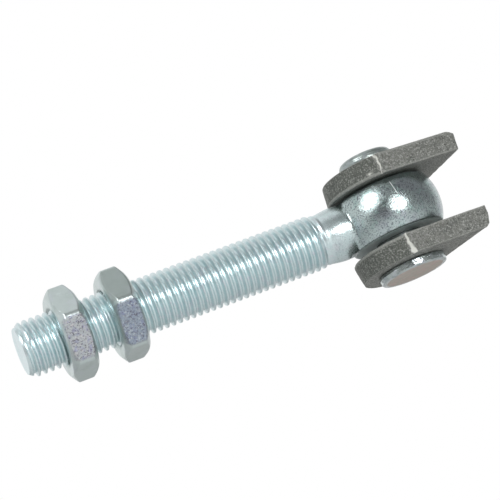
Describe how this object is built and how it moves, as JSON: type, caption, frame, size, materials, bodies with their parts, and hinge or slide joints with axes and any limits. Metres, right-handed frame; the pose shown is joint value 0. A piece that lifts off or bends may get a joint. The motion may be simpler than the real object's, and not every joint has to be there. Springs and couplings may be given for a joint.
{
  "type": "adjustable gate hinge",
  "caption": "Weld-on adjustable gate hinge: a forged eye bolt with a long thread and two thin nuts swings on a rivet between two flat steel lugs.",
  "frame": {"origin": "where the rivet's axis crosses the bolt's axis, in the middle of the forged eye", "axes": "+X along the bolt's axis from its free threaded end towards the lugs, +Z along the rivet's axis from its large forged head to its small peened head, +Y completes the frame"},
  "size_m": [0.169, 0.0448, 0.046],
  "materials": {
    "zinc": "bright zinc plate, blue passivated, near mirror on the turned surfaces",
    "rivet_zinc": "bright zinc plate on the rim, pinkish and matt on the large head's face",
    "nut_zinc": "satin zinc plate with a speckled blue and violet bloom",
    "raw_steel": "bare rolled steel, matt and finely mottled, darker where it was punched"
  },
  "bodies": {
    "upper_lug_and_rivet": {"upper_lug": "raw_steel", "hinge_pin": "rivet_zinc"},
    "lower_lug": {"lower_lug": "raw_steel"},
    "eye_bolt": {"eye_bolt": "zinc"},
    "outer_nut": {"outer_nut": "nut_zinc"},
    "inner_nut": {"inner_nut": "nut_zinc"}
  },
  "joints": [
    {"name": "eye_swing", "type": "hinge", "parent": "upper_lug_and_rivet", "child": "eye_bolt", "pos_m": [0, 0, 0], "axis": [0, 0, 1], "continuous": true},
    {"name": "lower_lug_swivel", "type": "hinge", "parent": "upper_lug_and_rivet", "child": "lower_lug", "pos_m": [0, 0, 0], "axis": [0, 0, 1], "continuous": true},
    {"name": "outer_nut_travel", "type": "slide", "parent": "eye_bolt", "child": "outer_nut", "axis": [1, 0, 0], "range_m": [-0.012, 0.0045]},
    {"name": "inner_nut_travel", "type": "slide", "parent": "eye_bolt", "child": "inner_nut", "axis": [1, 0, 0], "range_m": [-0.0045, 0.06]}
  ]
}
